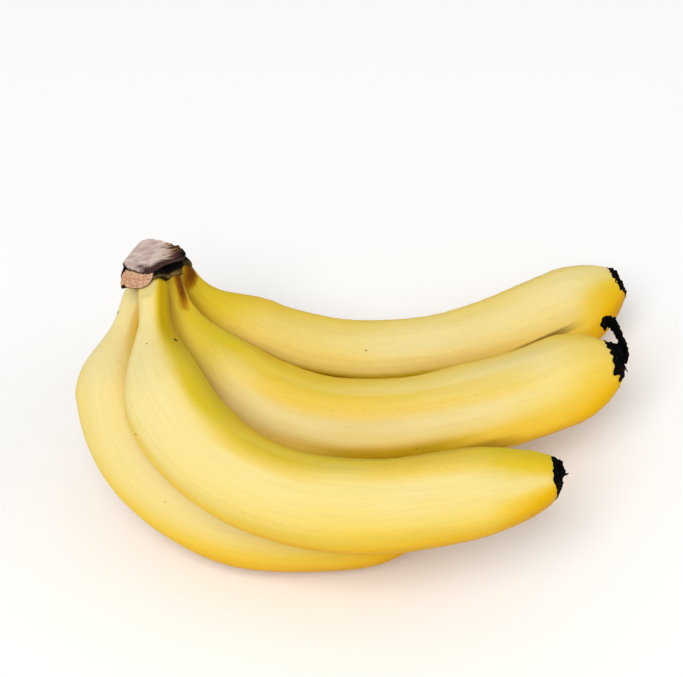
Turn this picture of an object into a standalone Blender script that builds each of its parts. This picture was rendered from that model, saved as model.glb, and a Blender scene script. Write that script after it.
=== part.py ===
"""A cut bunch of four ripe bananas lying on a table, grown together at one crown.

Lengths are in millimetres while the shapes are worked out, and are turned to metres when a mesh is made.
The table is the plane z = 0, +X runs along the bananas and +Y points away from the viewer.
"""
import math

import bmesh
import bpy
import numpy as np
from mathutils import Matrix, Vector

MM = 0.001

# Each banana is a round-cornered five-sided body swept along a curve that stays in one plane.
# root is where its neck leaves the crown: x and y from the middle of the necks, z above the table.
# heading, pitch and roll turn that plane: heading about +Z, pitch up from the table, roll about the neck.
# body_turn, late_turn and neck_turn are the degrees that the curve bends: evenly, more towards the tip, and at the
# neck, where the bend is centred at neck_turn_at and spread over neck_turn_span, both as parts of the length.
# neck_length is the thin part, shoulder_length the part where it swells, end_length the blunt rounded end.
# end_lift moves the flower end towards the inner side of the curve.
BANANAS = {
    "back": {
        "root": (4.7, 13.0, 65.3), "heading": -49.5, "pitch": -51.5, "roll": 24.0,
        "length": 201.0, "body_turn": 70.0, "late_turn": -7.0,
        "neck_turn": 31.0, "neck_turn_at": 0.2, "neck_turn_span": 0.7,
        "radius": 17.3, "neck_radius": 5.8, "end_radius": 5.9,
        "neck_length": 10.0, "shoulder_length": 35.0, "end_length": 24.0, "end_lift": -0.3, "ridge_at": 74.0,
    },
    "middle": {
        "root": (2.8, -1.3, 74.5), "heading": -72.5, "pitch": -36.0, "roll": 7.0,
        "length": 203.0, "body_turn": 64.0, "late_turn": -12.0,
        "neck_turn": 46.0, "neck_turn_at": 0.3, "neck_turn_span": 0.6,
        "radius": 17.6, "neck_radius": 5.7, "end_radius": 6.9,
        "neck_length": 10.0, "shoulder_length": 42.0, "end_length": 22.0, "end_lift": -0.8, "ridge_at": 76.0,
    },
    "front": {
        "root": (-0.2, -11.8, 81.1), "heading": -94.5, "pitch": -15.5, "roll": -4.0,
        "length": 203.0, "body_turn": 53.0, "late_turn": -14.0,
        "neck_turn": 65.0, "neck_turn_at": 0.4, "neck_turn_span": 0.7,
        "radius": 16.6, "neck_radius": 5.7, "end_radius": 6.1,
        "neck_length": 14.0, "shoulder_length": 39.0, "end_length": 30.0, "end_lift": 0.0, "ridge_at": 74.0,
    },
    "outer": {
        "root": (-7.2, 0.2, 67.6), "heading": -125.5, "pitch": -36.5, "roll": -12.0,
        "length": 190.0, "body_turn": 71.0, "late_turn": 27.0,
        "neck_turn": 48.0, "neck_turn_at": 0.3, "neck_turn_span": 0.6,
        "radius": 17.4, "neck_radius": 5.6, "end_radius": 6.6,
        "neck_length": 13.0, "shoulder_length": 29.0, "end_length": 32.0, "end_lift": 0.5, "ridge_at": 74.0,
    },
}
RIDGES = 5              # soft ridges along each banana
RIDGE_HEIGHT = 0.030    # how far a ridge stands out, as a part of the radius
RIDGE_SHARPNESS = 0.3   # share of the second harmonic, which makes the ridges narrower than the flats
PEG_LENGTH = 7.0        # the length over which a neck narrows into its socket in the crown
PEG_SHRINK = 1.4        # how much thinner it gets there
GAP = 0.3               # clearance between pieces that have grown together
RINGS = 46
SIDES = 30

# The crown is the stub that the necks grow from. Its sides lean in from a long oval at the necks to a smaller oval
# at the rim, where a slanting cut ends it. Its own axes are x right, y away from the viewer and z up towards the cut.
CROWN_LEAN = 47.0                       # how far the crown leans back from upright, in degrees
CROWN_FOOT = (-0.8, 0.0, 12.9, 20.6)    # centre x, centre y, half width and half depth at the necks
CROWN_RIM = (-1.7, -0.2, 12.0, 15.6)    # the same at the rim
CROWN_TWIST = 8.0                       # the foot's oval is turned this far from the rim's
FOOT_HEIGHT = -3.2                      # height of the foot's plane at its middle
FOOT_SLOPE = 0.26                       # and its rise towards the back
CUT_HEIGHT = 8.0                        # height of the cut face at its middle
CUT_SLOPE = 0.44
CUT_TILT = 0.08                         # the cut face also rises a little to the right
CROWN_LEVELS = 7
CROWN_SIDES = 48
SIDE_CUT_POINT = (-6.0, -12.6, 1.2)     # a smaller cut at the front left, where a fifth banana was taken off
SIDE_CUT_NORMAL = (-0.39, -0.65, 0.65)

# A blossom end is the dried flower left on the tip: a ragged cap. The middle banana's still has its curled style.
CAP_HEIGHT = 4.2
CAP_SIDES = 20
STYLE_PATH = ((3.0, 0.0, 0.5), (8.5, 2.0, 1.5), (7.0, 7.0, 2.0), (4.8, 11.0, 2.4), (5.8, 16.5, 2.6), (0.4, 14.8, 3.0))
STYLE_RADIUS = 1.1
STYLE_KNOB = 1.9

TABLE_HEIGHT = 0.0      # whatever would lie below this height is pressed flat by the table


def smooth(t):
    """Rise from 0 to 1 between t = 0 and t = 1 with level ends."""
    t = np.clip(t, 0.0, 1.0)
    return t * t * (3.0 - 2.0 * t)


def stations(length, count):
    """Distances along a length, closer together at both ends."""
    q = np.linspace(0.0, 1.0, count)
    return length * (0.55 * q + 0.45 * (0.5 - 0.5 * np.cos(math.pi * q)))


def finger_frame(b):
    """Turn a banana's own axes, with its curve in the XY plane, to where its neck leaves the crown."""
    turn = (Matrix.Rotation(math.radians(b["heading"]), 3, "Z")
            @ Matrix.Rotation(math.radians(-b["pitch"]), 3, "Y")
            @ Matrix.Rotation(math.radians(b["roll"]), 3, "X"))
    return np.array(turn)


def centre_line(b, s):
    """Points and directions at the distances s along the planar curve: the direction's angle is integrated."""
    fine = np.linspace(0.0, b["length"], 400)
    u = fine / b["length"]
    bend = smooth((u - b["neck_turn_at"]) / b["neck_turn_span"] + 0.5)
    angle = np.radians(b["body_turn"] * u + b["late_turn"] * u * u + b["neck_turn"] * bend)
    step = fine[1]
    along = np.stack([np.cos(angle), np.sin(angle)], axis=1)
    middle = (along[1:] + along[:-1]) / 2.0 * step
    path = np.concatenate([np.zeros((1, 2)), np.cumsum(middle, axis=0)])
    lean = np.clip((fine - b["length"] + b["end_length"] + 12.0) / (b["end_length"] + 12.0), 0.0, 1.0)
    path = path + b["end_lift"] * (lean ** 2)[:, None] * np.stack([-along[:, 1], along[:, 0]], axis=1)
    x = np.interp(s, fine, path[:, 0])
    y = np.interp(s, fine, path[:, 1])
    a = np.interp(s, fine, angle)
    return np.stack([x, y], axis=1), a


def girth(b, s):
    """Mean radius along a banana: peg, thin neck, swelling shoulder, full body and a blunt rounded end."""
    r = b["neck_radius"] + (b["radius"] - b["neck_radius"]) * smooth((s - b["neck_length"]) / b["shoulder_length"])
    r = r - PEG_SHRINK * (1.0 - smooth(s / PEG_LENGTH))
    u = np.clip((s - b["length"] + b["end_length"]) / b["end_length"], 0.0, 1.0)
    return b["end_radius"] + (r - b["end_radius"]) * (1.0 - u ** 1.7) ** 0.7


def section(b, s, around):
    """Radius round the body: the girth with soft ridges that fade out at the neck and at the end."""
    fade = smooth((s - 8.0) / 30.0) * (1.0 - 0.6 * smooth((s - b["length"] + 40.0) / 40.0))
    turn = around - math.radians(b["ridge_at"])
    wave = np.cos(RIDGES * turn) + RIDGE_SHARPNESS * np.cos(2 * RIDGES * turn)
    return girth(b, s)[:, None] * (1.0 + RIDGE_HEIGHT * fade[:, None] * wave[None, :])


def finger_rings(b, s, around, grow=0.0):
    """Rings of points round the centre line, swollen by grow."""
    path, angle = centre_line(b, s)
    r = section(b, s, around) + grow
    inner = np.cos(around)[None, :] * r
    up = np.sin(around)[None, :] * r
    x = path[:, 0, None] - np.sin(angle)[:, None] * inner
    y = path[:, 1, None] + np.cos(angle)[:, None] * inner
    points = np.stack([x, y, up], axis=-1)
    return points @ finger_frame(b).T + np.array(b["root"])


def new_collection(name):
    made = bpy.data.collections.new(name)
    bpy.context.scene.collection.children.link(made)
    return made


def new_material(name, colour, roughness):
    made = bpy.data.materials.new(name)
    made.use_nodes = True
    shader = made.node_tree.nodes["Principled BSDF"]
    shader.inputs["Base Color"].default_value = (*colour, 1.0)
    shader.inputs["Roughness"].default_value = roughness
    shader.inputs["Metallic"].default_value = 0.0
    return made


def body_from_rings(name, rings, collection, material=None):
    """A closed body from rings of points: four-sided faces between the rings and one face over each end."""
    count, sides = rings.shape[:2]
    vertices = (rings.reshape(-1, 3) * MM).tolist()
    faces = []
    for i in range(count - 1):
        for j in range(sides):
            k = (j + 1) % sides
            faces.append((i * sides + j, i * sides + k, (i + 1) * sides + k, (i + 1) * sides + j))
    faces.append(tuple(range(sides)))
    faces.append(tuple((count - 1) * sides + j for j in range(sides)))
    mesh = bpy.data.meshes.new(name)
    mesh.from_pydata(vertices, [], faces)
    edit = bmesh.new()
    edit.from_mesh(mesh)
    bmesh.ops.recalc_face_normals(edit, faces=edit.faces)
    edit.to_mesh(mesh)
    edit.free()
    made = bpy.data.objects.new(name, mesh)
    collection.objects.link(made)
    if material:
        mesh.materials.append(material)
    return made


def cut_flat(target, point, normal):
    """Slice off what lies on the side the normal points to, and close the cut with one flat face."""
    edit = bmesh.new()
    edit.from_mesh(target.data)
    everything = edit.verts[:] + edit.edges[:] + edit.faces[:]
    result = bmesh.ops.bisect_plane(edit, geom=everything, dist=1e-7, plane_co=Vector(point) * MM,
                                    plane_no=Vector(normal), clear_outer=True)
    rim = [item for item in result["geom_cut"] if isinstance(item, bmesh.types.BMEdge)]
    bmesh.ops.contextual_create(edit, geom=rim)
    bmesh.ops.recalc_face_normals(edit, faces=edit.faces)
    edit.to_mesh(target.data)
    edit.free()


def combine(target, other, operation):
    """Join the other body to the target, or take it out of it."""
    step = target.modifiers.new("combine", "BOOLEAN")
    step.operation = operation
    step.solver = "EXACT"
    step.object = other
    bpy.context.view_layer.update()
    evaluated = target.evaluated_get(bpy.context.evaluated_depsgraph_get())
    mesh = bpy.data.meshes.new_from_object(evaluated)
    target.modifiers.clear()
    target.data = mesh


def hide_as_cutter(cutter):
    cutter.hide_render = True
    cutter.display_type = "WIRE"


def crown_frame():
    """The crown's own axes: tipped back about X, and placed at the mean of the four roots."""
    roots = np.array([b["root"] for b in BANANAS.values()])
    return np.array(Matrix.Rotation(math.radians(-CROWN_LEAN), 3, "X")), roots.mean(axis=0)


def build_crown(parts, cutters, material):
    """Lofted stub between the necks and the slanting cut, with a socket for each neck and a small side cut."""
    around = np.linspace(0.0, 2.0 * math.pi, CROWN_SIDES, endpoint=False)
    rings = []
    for t in np.linspace(0.0, 1.0, CROWN_LEVELS):
        foot, rim = np.array(CROWN_FOOT), np.array(CROWN_RIM)
        cx, cy, half_width, half_depth = foot + (rim - foot) * smooth(t)
        lip = 1.0 - 0.05 * math.sin(math.pi * t) - 0.035 * t ** 12
        turn = math.radians(-CROWN_TWIST * (1.0 - t))
        lobes = 1.0 + 0.02 * np.cos(4.0 * around + 0.6) + 0.015 * np.cos(7.0 * around)
        x = half_width * np.cos(around) * lobes * lip
        y = half_depth * np.sin(around) * lobes * lip
        x, y = cx + x * math.cos(turn) - y * math.sin(turn), cy + x * math.sin(turn) + y * math.cos(turn)
        foot_z = FOOT_HEIGHT + FOOT_SLOPE * y
        cut_z = CUT_HEIGHT + CUT_SLOPE * y + CUT_TILT * x
        rings.append(np.stack([x, y, foot_z + (cut_z - foot_z) * t], axis=1))
    crown = body_from_rings("crown", np.array(rings), parts, material)
    cut_flat(crown, SIDE_CUT_POINT, SIDE_CUT_NORMAL)
    turn, middle = crown_frame()
    place = Matrix(turn.tolist()).to_4x4()
    place.translation = Vector(middle * MM)
    crown.data.transform(place)
    around = np.linspace(0.0, 2.0 * math.pi, 24, endpoint=False)
    for name, b in BANANAS.items():
        s = np.linspace(-GAP, 16.0, 9)
        rings = finger_rings(b, np.maximum(s, 0.0), around, GAP)
        back = finger_frame(b) @ np.array([1.0, 0.0, 0.0])
        rings[0] = rings[0] - GAP * back
        socket = body_from_rings("socket_" + name, rings, cutters)
        combine(crown, socket, "DIFFERENCE")
        hide_as_cutter(socket)
    return crown


def build_banana(name, b, parts, material):
    """One banana, pressed flat where it lies on the table."""
    around = np.linspace(0.0, 2.0 * math.pi, SIDES, endpoint=False)
    rings = finger_rings(b, stations(b["length"], RINGS), around)
    banana = body_from_rings("banana_" + name, rings, parts, material)
    if rings[..., 2].min() < TABLE_HEIGHT:
        cut_flat(banana, (0.0, 0.0, TABLE_HEIGHT), (0.0, 0.0, -1.0))
    return banana


def end_frame(b):
    """Axes at a banana's flower end: along the tip, towards the inner side and up from the curve's plane."""
    path, angle = centre_line(b, np.array([b["length"]]))
    a = float(angle[0])
    local = np.array([[math.cos(a), -math.sin(a), 0.0], [math.sin(a), math.cos(a), 0.0], [0.0, 0.0, 1.0]])
    turn = finger_frame(b)
    origin = turn @ np.array([path[0, 0], path[0, 1], 0.0]) + np.array(b["root"])
    return turn @ local, origin


def build_blossom_end(name, b, phase, parts, cutters, material):
    """A ragged cap on the flower end: rings that widen, then close in, with uneven edges."""
    around = np.linspace(0.0, 2.0 * math.pi, CAP_SIDES, endpoint=False)
    profile = ((GAP, 0.86), (1.3, 1.00), (2.6, 0.84), (3.6, 0.52), (CAP_HEIGHT, 0.20))
    rings = []
    for height, part in profile:
        ragged = 1.0 + 0.07 * np.sin(3.0 * around + phase) + 0.05 * np.sin(5.0 * around + 2.0 * phase + height)
        r = b["end_radius"] * part * ragged
        rise = height + 0.5 * (height > 1.0) * np.sin(4.0 * around + phase) * part
        rings.append(np.stack([rise, r * np.cos(around), r * np.sin(around)], axis=1))
    turn, origin = end_frame(b)
    cap = body_from_rings("blossom_tip_" + name, np.array(rings) @ turn.T + origin, parts, material)
    if name == "middle":
        style = body_from_rings("style", style_rings() @ turn.T + origin, cutters)
        combine(cap, style, "UNION")
        hide_as_cutter(style)
    return cap


def style_rings():
    """The dried style: a thin tube along the Bezier curve that its path points pull, ending in a knob."""
    t = np.linspace(0.0, 1.0, 17)
    degree = len(STYLE_PATH) - 1
    curve = np.zeros((len(t), 3))
    for i, point in enumerate(STYLE_PATH):
        share = math.comb(degree, i) * t ** i * (1.0 - t) ** (degree - i)
        curve += share[:, None] * np.array(point)
    along = np.gradient(curve, axis=0)
    along /= np.linalg.norm(along, axis=1)[:, None]
    side = np.cross(along, np.array([0.0, 0.0, 1.0]))
    side /= np.linalg.norm(side, axis=1)[:, None]
    top = np.cross(side, along)
    r = STYLE_RADIUS + (STYLE_KNOB - STYLE_RADIUS) * np.exp(-((t - 0.93) / 0.08) ** 2) + 0.4 * np.exp(-(t / 0.2) ** 2)
    around = np.linspace(0.0, 2.0 * math.pi, 10, endpoint=False)
    ring = np.cos(around)[None, :, None] * side[:, None, :] + np.sin(around)[None, :, None] * top[:, None, :]
    return curve[:, None, :] + r[:, None, None] * ring


def move_to_middle(objects):
    """Bring the middle of the bunch's footprint to the origin."""
    corners = np.array([v.co for made in objects for v in made.data.vertices])
    middle = (corners.min(axis=0) + corners.max(axis=0)) / 2.0
    shift = Matrix.Translation((-middle[0], -middle[1], 0.0))
    for made in objects:
        made.data.transform(shift)
    return middle


def main():
    for old in list(bpy.data.objects):
        bpy.data.objects.remove(old)
    parts = new_collection("bunch_of_bananas")
    cutters = new_collection("cutters")
    peel = new_material("banana_peel", (0.86, 0.66, 0.13), 0.5)
    cork = new_material("dried_crown", (0.46, 0.33, 0.26), 0.85)
    flower = new_material("dried_flower", (0.016, 0.011, 0.008), 0.9)
    made = [build_crown(parts, cutters, cork)]
    for number, (name, b) in enumerate(BANANAS.items()):
        made.append(build_banana(name, b, parts, peel))
        made.append(build_blossom_end(name, b, 1.3 * number, parts, cutters, flower))
    move_to_middle(made)


main()
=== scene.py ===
"""The finished look of a cut bunch of four ripe bananas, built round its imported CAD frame.

Shapes are worked out in millimetres and turned to metres when a mesh is made. The surface that the bunch
lies on is z = 0, +X runs along the bananas and +Y points away from the viewer.
"""
import math

import bpy
import numpy as np
from mathutils import Matrix, Vector


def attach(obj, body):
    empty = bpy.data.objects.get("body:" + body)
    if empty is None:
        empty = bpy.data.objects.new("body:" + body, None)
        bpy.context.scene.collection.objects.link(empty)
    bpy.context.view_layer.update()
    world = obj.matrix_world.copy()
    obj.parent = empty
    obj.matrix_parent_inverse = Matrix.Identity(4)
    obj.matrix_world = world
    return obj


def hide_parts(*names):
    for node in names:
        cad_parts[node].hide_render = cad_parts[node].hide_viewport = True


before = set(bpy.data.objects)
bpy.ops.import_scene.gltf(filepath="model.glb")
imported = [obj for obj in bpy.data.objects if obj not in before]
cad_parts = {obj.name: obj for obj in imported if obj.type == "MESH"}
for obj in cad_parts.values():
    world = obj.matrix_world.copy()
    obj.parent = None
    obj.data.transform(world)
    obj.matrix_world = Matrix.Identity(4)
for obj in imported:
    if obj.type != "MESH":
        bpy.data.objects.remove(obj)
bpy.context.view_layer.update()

# The bananas
# Four ripe dessert bananas, each a five-sided body with soft ridges that bends in one plane from its neck,
# in the crown, to its flower end. The peel is smooth, waxy and yellow, with light and shade painted into its
# colour: cream on the side that faces the lamp and golden, as painted shade, on the side turned away.
MM = 0.001
BANANAS = {
    "back": {
        "root": (-71.011, 56.883, 65.3), "heading": -49.5, "pitch": -51.5, "roll": 24.0,
        "length": 201.0, "body_turn": 70.0, "late_turn": -7.0,
        "neck_turn": 31.0, "neck_turn_at": 0.2, "neck_turn_span": 0.7,
        "radius": 17.3, "neck_radius": 5.8, "end_radius": 5.9,
        "neck_length": 10.0, "shoulder_length": 35.0, "end_length": 24.0, "end_lift": -0.3, "ridge_at": 74.0,
    },
    "middle": {
        "root": (-72.911, 42.583, 74.5), "heading": -72.5, "pitch": -36.0, "roll": 7.0,
        "length": 203.0, "body_turn": 64.0, "late_turn": -12.0,
        "neck_turn": 46.0, "neck_turn_at": 0.3, "neck_turn_span": 0.6,
        "radius": 17.6, "neck_radius": 5.7, "end_radius": 6.9,
        "neck_length": 10.0, "shoulder_length": 42.0, "end_length": 22.0, "end_lift": -0.8, "ridge_at": 76.0,
    },
    "front": {
        "root": (-75.911, 32.083, 81.1), "heading": -94.5, "pitch": -15.5, "roll": -4.0,
        "length": 203.0, "body_turn": 53.0, "late_turn": -14.0,
        "neck_turn": 65.0, "neck_turn_at": 0.4, "neck_turn_span": 0.7,
        "radius": 16.6, "neck_radius": 5.7, "end_radius": 6.1,
        "neck_length": 14.0, "shoulder_length": 39.0, "end_length": 30.0, "end_lift": 0.0, "ridge_at": 74.0,
    },
    "outer": {
        "root": (-82.911, 44.083, 67.6), "heading": -125.5, "pitch": -36.5, "roll": -12.0,
        "length": 190.0, "body_turn": 71.0, "late_turn": 27.0,
        "neck_turn": 48.0, "neck_turn_at": 0.3, "neck_turn_span": 0.6,
        "radius": 17.4, "neck_radius": 5.6, "end_radius": 6.6,
        "neck_length": 13.0, "shoulder_length": 29.0, "end_length": 32.0, "end_lift": 0.5, "ridge_at": 74.0,
    },
}
# Small hollows and swellings that make each banana its own shape: mm from the neck, the angle round it, and
# the mm that the peel stands in or out there. Each fades over SWELLING_SPREAD: mm along, degrees round.
SWELLINGS = {
    "back": ((46, 353, -0.8), (122, 348, -1.0), (166, 344, 0.4), (199, 162, -1.2), (30, 104, 0.8),
             (56, 104, 0.6)),
    "middle": ((48, 4, -1.3), (124, 4, -0.9), (162, 2, -0.8), (205, 180, -0.8)),
    "front": ((18, 176, -0.8), (62, 188, 0.7), (104, 198, -0.5), (143, 200, 0.5), (180, 198, -1.3),
              (27, 0, 1.3), (52, 6, -1.2), (150, 22, -0.8)),
    "outer": ((12, 160, -0.8), (38, 160, -0.7), (80, 168, -0.5), (113, 173, 1.2), (143, 176, -0.4),
              (171, 180, 0.5)),
}
SWELLING_SPREAD = (14.0, 34.0)
END_TILTS = {"back": 0.0, "middle": 0.0, "front": 2.8, "outer": 0.0}   # mm further out, hollow side
RIDGES = 5
RIDGE_HEIGHT = 0.030     # a share of the girth
RIDGE_SHARPNESS = 0.3
NECK_BURIED = 3.0        # mm of each neck that the crown covers
NECK_SHRINK = 2.4        # mm that the buried part is thinner
PEEL_RINGS = 380
PEEL_SIDES = 144
APART = 1000.0           # mm between one banana and the next in their patterns, so that none look alike


def smooth(t):
    """Rise from 0 to 1 between t = 0 and t = 1 with level ends: t squared times (3 - 2t)."""
    t = np.clip(t, 0.0, 1.0)
    return t * t * (3.0 - 2.0 * t)


def ripples(points, wavelength, seed, count=14):
    """Unevenness from about -1 to 1: a sum of plane waves near one wavelength, with seeded directions and
    phases."""
    dice = np.random.default_rng(seed)
    ways = dice.normal(size=(count, 3))
    ways /= np.linalg.norm(ways, axis=1)[:, None]
    ways *= 2.0 * math.pi / (wavelength * dice.uniform(0.75, 1.4, (count, 1)))
    phases = dice.uniform(0.0, 2.0 * math.pi, count)
    return np.sin(points @ ways.T + phases).sum(axis=-1) / math.sqrt(count)


def finger_frame(b):
    """A banana's own axes: heading about Z, pitch up from the table, then roll about the neck."""
    return np.array(Matrix.Rotation(math.radians(b["heading"]), 3, "Z")
                    @ Matrix.Rotation(math.radians(-b["pitch"]), 3, "Y")
                    @ Matrix.Rotation(math.radians(b["roll"]), 3, "X"))


def centre_line(b, s):
    """The planar curve at the distances s: its direction turns by body_turn, late_turn and neck_turn degrees,
    and the points are the running sum of that direction. Towards the end it is lifted by end_lift times the
    distance squared. Before the root it runs on straight."""
    fine = np.linspace(0.0, b["length"], 400)
    u = fine / b["length"]
    bend = smooth((u - b["neck_turn_at"]) / b["neck_turn_span"] + 0.5)
    angle = np.radians(b["body_turn"] * u + b["late_turn"] * u * u + b["neck_turn"] * bend)
    along = np.stack([np.cos(angle), np.sin(angle)], axis=1)
    path = np.concatenate([np.zeros((1, 2)), np.cumsum((along[1:] + along[:-1]) / 2.0 * fine[1], axis=0)])
    lean = np.clip((fine - b["length"] + b["end_length"] + 12.0) / (b["end_length"] + 12.0), 0.0, 1.0)
    path = path + b["end_lift"] * (lean ** 2)[:, None] * np.stack([-along[:, 1], along[:, 0]], axis=1)
    x = np.interp(s, fine, path[:, 0]) + np.minimum(s, 0.0) * along[0, 0]
    y = np.interp(s, fine, path[:, 1]) + np.minimum(s, 0.0) * along[0, 1]
    return np.stack([x, y], axis=1), np.interp(s, fine, angle)


def girth(b, s):
    """Mean radius: thin neck, swelling shoulder, full body, and an end that closes as (1 - u^1.7)^0.7."""
    shoulder = smooth((s - b["neck_length"]) / b["shoulder_length"])
    r = b["neck_radius"] + (b["radius"] - b["neck_radius"]) * shoulder
    u = np.clip((s - b["length"] + b["end_length"]) / b["end_length"], 0.0, 1.0)
    return b["end_radius"] + (r - b["end_radius"]) * (1.0 - u ** 1.7) ** 0.7


def swelling(name, s, around):
    """The sum of the banana's swellings, each its height times exp(-distance squared), along and round."""
    length, width = SWELLING_SPREAD[0], math.radians(SWELLING_SPREAD[1])
    total = 0.0 * s * around
    for at, angle, out in SWELLINGS[name]:
        turn = (around - math.radians(angle) + math.pi) % (2.0 * math.pi) - math.pi
        total = total + out * np.exp(-((s - at) / length) ** 2 - (turn / width) ** 2)
    return total


def ridge_wave(b, around):
    """The five ridges round the body: a cosine with a share of its second harmonic."""
    turn = around - math.radians(b["ridge_at"])
    return np.cos(RIDGES * turn) + RIDGE_SHARPNESS * np.cos(2 * RIDGES * turn)


def peel_rings(name, b, number):
    """Rings of points round the centre line, the same points on the banana pulled straight, whose x is the
    distance from the neck, and the way that each point faces. The radius is the girth with ridges, plus the
    swellings, a slight unevenness and pleats at the neck. The end tilts by END_TILTS; nothing goes below
    z = 0."""
    q = np.linspace(0.0, 1.0, PEEL_RINGS)
    s = -NECK_BURIED + (b["length"] + NECK_BURIED) * (0.6 * q + 0.4 * (0.5 - 0.5 * np.cos(math.pi * q)))
    around = np.linspace(0.0, 2.0 * math.pi, PEEL_SIDES, endpoint=False)
    r = np.repeat(girth(b, s)[:, None], PEEL_SIDES, axis=1)
    fade = smooth((s - 8.0) / 30.0) * (1.0 - 0.6 * smooth((s - b["length"] + 40.0) / 40.0))
    r *= 1.0 + RIDGE_HEIGHT * fade[:, None] * ridge_wave(b, around)[None, :]
    r -= NECK_SHRINK * (1.0 - smooth((s + 2.5) / 5.0))[:, None]
    r += swelling(name, s[:, None], around[None, :])
    away = np.repeat(s[:, None], PEEL_SIDES, axis=1)
    straight = np.stack([away, r * np.cos(around), r * np.sin(around)], axis=-1)
    uneven = 0.16 * ripples(straight * (0.35, 1.0, 1.0), 11.0, number)
    uneven += 0.05 * ripples(straight, 5.0, number + 10)
    pleated = smooth(s / 8.0) * (1.0 - smooth((s - 14.0) / 26.0))
    pleats = 0.09 * np.cos(11.0 * around + 0.4) * pleated[:, None]
    mouth = 1.0 - smooth((s - b["length"] + 2.0) / 2.0)
    r += (uneven * smooth((s - 4.0) / 20.0)[:, None] + pleats) * mouth[:, None]
    path, angle = centre_line(b, s)
    forward = np.stack([np.cos(angle), np.sin(angle), 0.0 * angle], axis=1)[:, None, :]
    hollow = np.stack([-np.sin(angle), np.cos(angle), 0.0 * angle], axis=1)[:, None, :]
    ways = hollow * np.cos(around)[:, None] + np.array([0.0, 0.0, 1.0]) * np.sin(around)[:, None]
    points = np.column_stack([path, 0.0 * s])[:, None, :] + r[..., None] * ways
    near_end = smooth((s - b["length"] + 16.0) / 16.0)
    reach = END_TILTS[name] * near_end[:, None] * (0.5 + 0.5 * np.cos(around))
    points += reach[..., None] * forward
    turn = finger_frame(b)
    points = points @ turn.T + np.array(b["root"])
    points[..., 2] = np.maximum(points[..., 2], 0.0)
    return points, straight, ways @ turn.T


def closed_skin(name, rings, values):
    """A closed mesh from rings of points: quads between neighbouring rings, and a fan to the mean of each end
    ring. values holds one number or vector a point, by attribute name."""
    count, sides = rings.shape[:2]
    ends = [rings[0].mean(axis=0), rings[-1].mean(axis=0)]
    points = np.concatenate([rings.reshape(-1, 3), ends]) * MM
    grid = np.arange(count * sides).reshape(count, sides)
    beside = np.roll(grid, -1, axis=1)
    quads = np.stack([grid[:-1], beside[:-1], beside[1:], grid[1:]], axis=-1).reshape(-1, 4)
    first = np.stack([beside[0], grid[0], np.full(sides, count * sides)], axis=-1)
    last = np.stack([grid[-1], beside[-1], np.full(sides, count * sides + 1)], axis=-1)
    mesh = bpy.data.meshes.new(name)
    mesh.from_pydata(points.tolist(), [], quads.tolist() + first.tolist() + last.tolist())
    for label, value in values.items():
        flat = value.reshape(count * sides, -1)
        tails = [value[0].reshape(sides, -1).mean(axis=0), value[-1].reshape(sides, -1).mean(axis=0)]
        flat = np.concatenate([flat, tails])
        kind, slot = ("FLOAT_VECTOR", "vector") if flat.shape[1] == 3 else ("FLOAT", "value")
        mesh.attributes.new(label, kind, "POINT").data.foreach_set(slot, flat.astype(np.float32).ravel())
    mesh.shade_smooth()
    mesh.update()
    made = bpy.data.objects.new(name, mesh)
    bpy.context.scene.collection.objects.link(made)
    return made


def linear(code):
    """An sRGB hex colour in linear light: c / 12.92 when dark, else ((c + 0.055) / 1.055) ** 2.4."""
    shares = [int(code[i:i + 2], 16) / 255.0 for i in (1, 3, 5)]
    return (*[c / 12.92 if c <= 0.04045 else ((c + 0.055) / 1.055) ** 2.4 for c in shares], 1.0)


# Kinds of node with their settings: the sockets that put's values go to, in order, and the output that it
# gives back.
MIX = {"kind": "ShaderNodeMix", "sockets": (0, 6, 7), "out": 2, "data_type": "RGBA"}
ADD, MINUS, TIMES, LARGER, BELOW = [{"kind": "ShaderNodeMath", "operation": how}
                                    for how in ("ADD", "SUBTRACT", "MULTIPLY", "MAXIMUM", "LESS_THAN")]
RAMP = {"kind": "ShaderNodeMapRange"}
EASE = {"kind": "ShaderNodeMapRange", "interpolation_type": "SMOOTHSTEP"}
OVER = {"kind": "ShaderNodeVectorMath", "operation": "DIVIDE"}
SHIFT = {"kind": "ShaderNodeVectorMath", "operation": "ADD"}
BETWEEN = {"kind": "ShaderNodeVectorMath", "operation": "DISTANCE", "out": "Value"}
NOISE = {"kind": "ShaderNodeTexNoise", "sockets": ("Vector", "Scale", "Detail", "Roughness")}
CELLS = {"kind": "ShaderNodeTexVoronoi", "sockets": ("Vector", "Scale"), "out": "Distance"}
RELIEF = {"kind": "ShaderNodeBump", "sockets": ("Height", "Strength", "Distance")}


def put(tree, *values, kind, sockets=(0, 1, 2, 3, 4), out=0, **settings):
    """Add one node of a kind with its settings. Its sockets take the values in order, and a value that is
    another node's output is linked. Gives back the node's output."""
    node = tree.nodes.new(kind)
    for name, value in settings.items():
        setattr(node, name, value)
    for socket, value in zip(sockets, values):
        if isinstance(value, bpy.types.NodeSocket):
            tree.links.new(value, node.inputs[socket])
        else:
            node.inputs[socket].default_value = value
    return node.outputs[out] if len(node.outputs) else node


def new_material(name, *attributes):
    """An empty material with one Principled shader, and the mesh's own values of the given names."""
    made = bpy.data.materials.new(name)
    made.use_nodes = True
    tree = made.node_tree
    tree.nodes.clear()
    surface = put(tree, kind="ShaderNodeBsdfPrincipled")
    put(tree, surface, kind="ShaderNodeOutputMaterial")
    own = {label: put(tree, kind="ShaderNodeAttribute", out="Fac", attribute_name=label)
           for label in attributes}
    return made, tree, surface.node, own


def stirred(tree, value, noise, amount):
    """A value plus the noise, counted from its middle of 0.5, times an amount: it makes an edge ragged."""
    return put(tree, value, put(tree, put(tree, noise, 0.5, **MINUS), amount, **TIMES), **ADD)


# Painted light: cream where the peel faces this way, towards the key lamp; golden painted shade facing away.
PAINTED_LIGHT_SIDE = (-0.44, -0.31, 0.84)   # the way that the pale side faces: up, to the left and a little forward
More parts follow.
